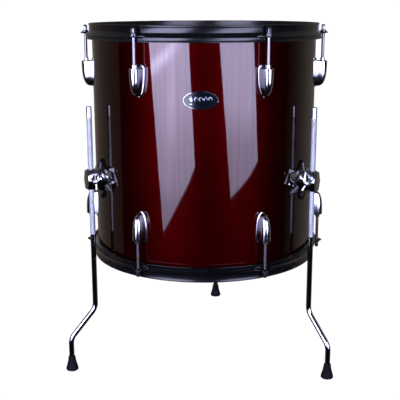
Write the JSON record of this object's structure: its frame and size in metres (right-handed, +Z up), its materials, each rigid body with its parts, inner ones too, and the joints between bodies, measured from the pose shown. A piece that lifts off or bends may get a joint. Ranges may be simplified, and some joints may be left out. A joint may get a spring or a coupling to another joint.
{
  "type": "floor tom drum",
  "caption": "Deep red 16 in floor tom with black hoops and chrome lugs, standing on three height-adjustable knurled legs clamped by wing screws.",
  "frame": {"origin": "centre of the batter head's playing surface, on the drum's own axis; the floor is 612 mm below", "axes": "+Z up along the drum's axis; -Y to the front, where the badge is; +X to the right of someone facing the badge"},
  "size_m": [0.4892, 0.496, 0.625],
  "materials": {
    "birch_ply": "sealed cross-laminated ply",
    "red_wrap": "deep red gloss wrap",
    "chrome_plate": "polished",
    "badge_enamel": "gloss enamel",
    "coated_film": "rough sprayed coating",
    "clear_film": "clear polyester film",
    "aluminium_hoop": "mill finish",
    "black_hoop": "gloss black",
    "black_rubber": "matt",
    "nut_steel": "nickel plated",
    "white_nylon": "moulded",
    "screw_steel": "zinc plated",
    "rod_chrome": "polished",
    "washer_steel": "plated",
    "cast_chrome": "polished plate on zinc casting",
    "black_nylon": "moulded",
    "wing_chrome": "polished",
    "leg_chrome": "polished, knurled along the clamping length"
  },
  "bodies": {
    "drum": {"shell": "birch_ply", "shell_wrap": "red_wrap", "badge_plate": "chrome_plate", "badge_inlay": "badge_enamel", "vent_grommet": "chrome_plate", "batter_film": "coated_film", "batter_flesh_hoop": "aluminium_hoop", "resonant_film": "clear_film", "resonant_flesh_hoop": "aluminium_hoop", "batter_hoop": "black_hoop", "resonant_hoop": "black_hoop", "lug_top_1": "cast_chrome", "lug_top_2": "cast_chrome", "lug_top_3": "cast_chrome", "lug_top_4": "cast_chrome", "lug_top_5": "cast_chrome", "lug_top_6": "cast_chrome", "lug_bottom_1": "cast_chrome", "lug_bottom_2": "cast_chrome", "lug_bottom_3": "cast_chrome", "lug_bottom_4": "cast_chrome", "lug_bottom_5": "cast_chrome", "lug_bottom_6": "cast_chrome", "lug_gaskets": "black_rubber", "lug_nuts": "nut_steel", "lug_nut_sleeves": "white_nylon", "lug_screws": "screw_steel", "lug_screw_washers": "screw_steel", "rod_washers": "washer_steel", "bracket_left": "cast_chrome", "bracket_right": "cast_chrome", "bracket_rear": "cast_chrome", "bracket_gaskets": "black_rubber", "bracket_screws": "screw_steel", "bracket_screw_washers": "screw_steel"},
    "bush_left": {"bush_left": "black_nylon"},
    "leg_left": {"leg_left": "leg_chrome", "foot_left": "black_rubber"},
    "wing_left": {"wing_screw_left": "wing_chrome"},
    "bush_right": {"bush_right": "black_nylon"},
    "leg_right": {"leg_right": "leg_chrome", "foot_right": "black_rubber"},
    "wing_right": {"wing_screw_right": "wing_chrome"},
    "bush_rear": {"bush_rear": "black_nylon"},
    "leg_rear": {"leg_rear": "leg_chrome", "foot_rear": "black_rubber"},
    "wing_rear": {"wing_screw_rear": "wing_chrome"},
    "rod_top_1": {"rod_top_1": "rod_chrome"},
    "rod_bottom_1": {"rod_bottom_1": "rod_chrome"},
    "rod_top_2": {"rod_top_2": "rod_chrome"},
    "rod_bottom_2": {"rod_bottom_2": "rod_chrome"},
    "rod_top_3": {"rod_top_3": "rod_chrome"},
    "rod_bottom_3": {"rod_bottom_3": "rod_chrome"},
    "rod_top_4": {"rod_top_4": "rod_chrome"},
    "rod_bottom_4": {"rod_bottom_4": "rod_chrome"},
    "rod_top_5": {"rod_top_5": "rod_chrome"},
    "rod_bottom_5": {"rod_bottom_5": "rod_chrome"},
    "rod_top_6": {"rod_top_6": "rod_chrome"},
    "rod_bottom_6": {"rod_bottom_6": "rod_chrome"}
  },
  "joints": [
    {"name": "leg_left_swivel", "type": "hinge", "parent": "drum", "child": "bush_left", "pos_m": [-0.1978, -0.10829, -0.2567], "axis": [0, 0, 1], "continuous": true},
    {"name": "leg_left_height", "type": "slide", "parent": "bush_left", "child": "leg_left", "axis": [0, 0, 1], "range_m": [-0.105, 0.085]},
    {"name": "wing_left_turn", "type": "hinge", "parent": "drum", "child": "wing_left", "pos_m": [-0.1978, -0.10829, -0.2567], "axis": [0.4802, -0.8771, 0], "range_deg": [0, 1080]},
    {"name": "leg_right_swivel", "type": "hinge", "parent": "drum", "child": "bush_right", "pos_m": [0.19268, -0.11715, -0.2567], "axis": [0, 0, 1], "continuous": true},
    {"name": "leg_right_height", "type": "slide", "parent": "bush_right", "child": "leg_right", "axis": [0, 0, 1], "range_m": [-0.105, 0.085]},
    {"name": "wing_right_turn", "type": "hinge", "parent": "drum", "child": "wing_right", "pos_m": [0.19268, -0.11715, -0.2567], "axis": [-0.5195, -0.8545, 0], "range_deg": [0, 1080]},
    {"name": "leg_rear_swivel", "type": "hinge", "parent": "drum", "child": "bush_rear", "pos_m": [0.00512, 0.22544, -0.2567], "axis": [0, 0, 1], "continuous": true},
    {"name": "leg_rear_height", "type": "slide", "parent": "bush_rear", "child": "leg_rear", "axis": [0, 0, 1], "range_m": [-0.105, 0.085]},
    {"name": "wing_rear_turn", "type": "hinge", "parent": "drum", "child": "wing_rear", "pos_m": [0.00512, 0.22544, -0.2567], "axis": [-0.9997, 0.0227, 0], "range_deg": [0, 1080]},
    {"name": "rod_top_1_turn", "type": "hinge", "parent": "drum", "child": "rod_top_1", "pos_m": [0.1086, -0.1881, 0], "axis": [0, 0, 1], "range_deg": [-90, 1800]},
    {"name": "rod_bottom_1_turn", "type": "hinge", "parent": "drum", "child": "rod_bottom_1", "pos_m": [0.1086, -0.1881, -0.4006], "axis": [0, 0, -1], "range_deg": [-90, 1800]},
    {"name": "rod_top_2_turn", "type": "hinge", "parent": "drum", "child": "rod_top_2", "pos_m": [0.2172, 0, 0], "axis": [0, 0, 1], "range_deg": [-90, 1800]},
    {"name": "rod_bottom_2_turn", "type": "hinge", "parent": "drum", "child": "rod_bottom_2", "pos_m": [0.2172, 0, -0.4006], "axis": [0, 0, -1], "range_deg": [-90, 1800]},
    {"name": "rod_top_3_turn", "type": "hinge", "parent": "drum", "child": "rod_top_3", "pos_m": [0.1086, 0.1881, 0], "axis": [0, 0, 1], "range_deg": [-90, 1800]},
    {"name": "rod_bottom_3_turn", "type": "hinge", "parent": "drum", "child": "rod_bottom_3", "pos_m": [0.1086, 0.1881, -0.4006], "axis": [0, 0, -1], "range_deg": [-90, 1800]},
    {"name": "rod_top_4_turn", "type": "hinge", "parent": "drum", "child": "rod_top_4", "pos_m": [-0.1086, 0.1881, 0], "axis": [0, 0, 1], "range_deg": [-90, 1800]},
    {"name": "rod_bottom_4_turn", "type": "hinge", "parent": "drum", "child": "rod_bottom_4", "pos_m": [-0.1086, 0.1881, -0.4006], "axis": [0, 0, -1], "range_deg": [-90, 1800]},
    {"name": "rod_top_5_turn", "type": "hinge", "parent": "drum", "child": "rod_top_5", "pos_m": [-0.2172, 0, 0], "axis": [0, 0, 1], "range_deg": [-90, 1800]},
    {"name": "rod_bottom_5_turn", "type": "hinge", "parent": "drum", "child": "rod_bottom_5", "pos_m": [-0.2172, 0, -0.4006], "axis": [0, 0, -1], "range_deg": [-90, 1800]},
    {"name": "rod_top_6_turn", "type": "hinge", "parent": "drum", "child": "rod_top_6", "pos_m": [-0.1086, -0.1881, 0], "axis": [0, 0, 1], "range_deg": [-90, 1800]},
    {"name": "rod_bottom_6_turn", "type": "hinge", "parent": "drum", "child": "rod_bottom_6", "pos_m": [-0.1086, -0.1881, -0.4006], "axis": [0, 0, -1], "range_deg": [-90, 1800]}
  ]
}
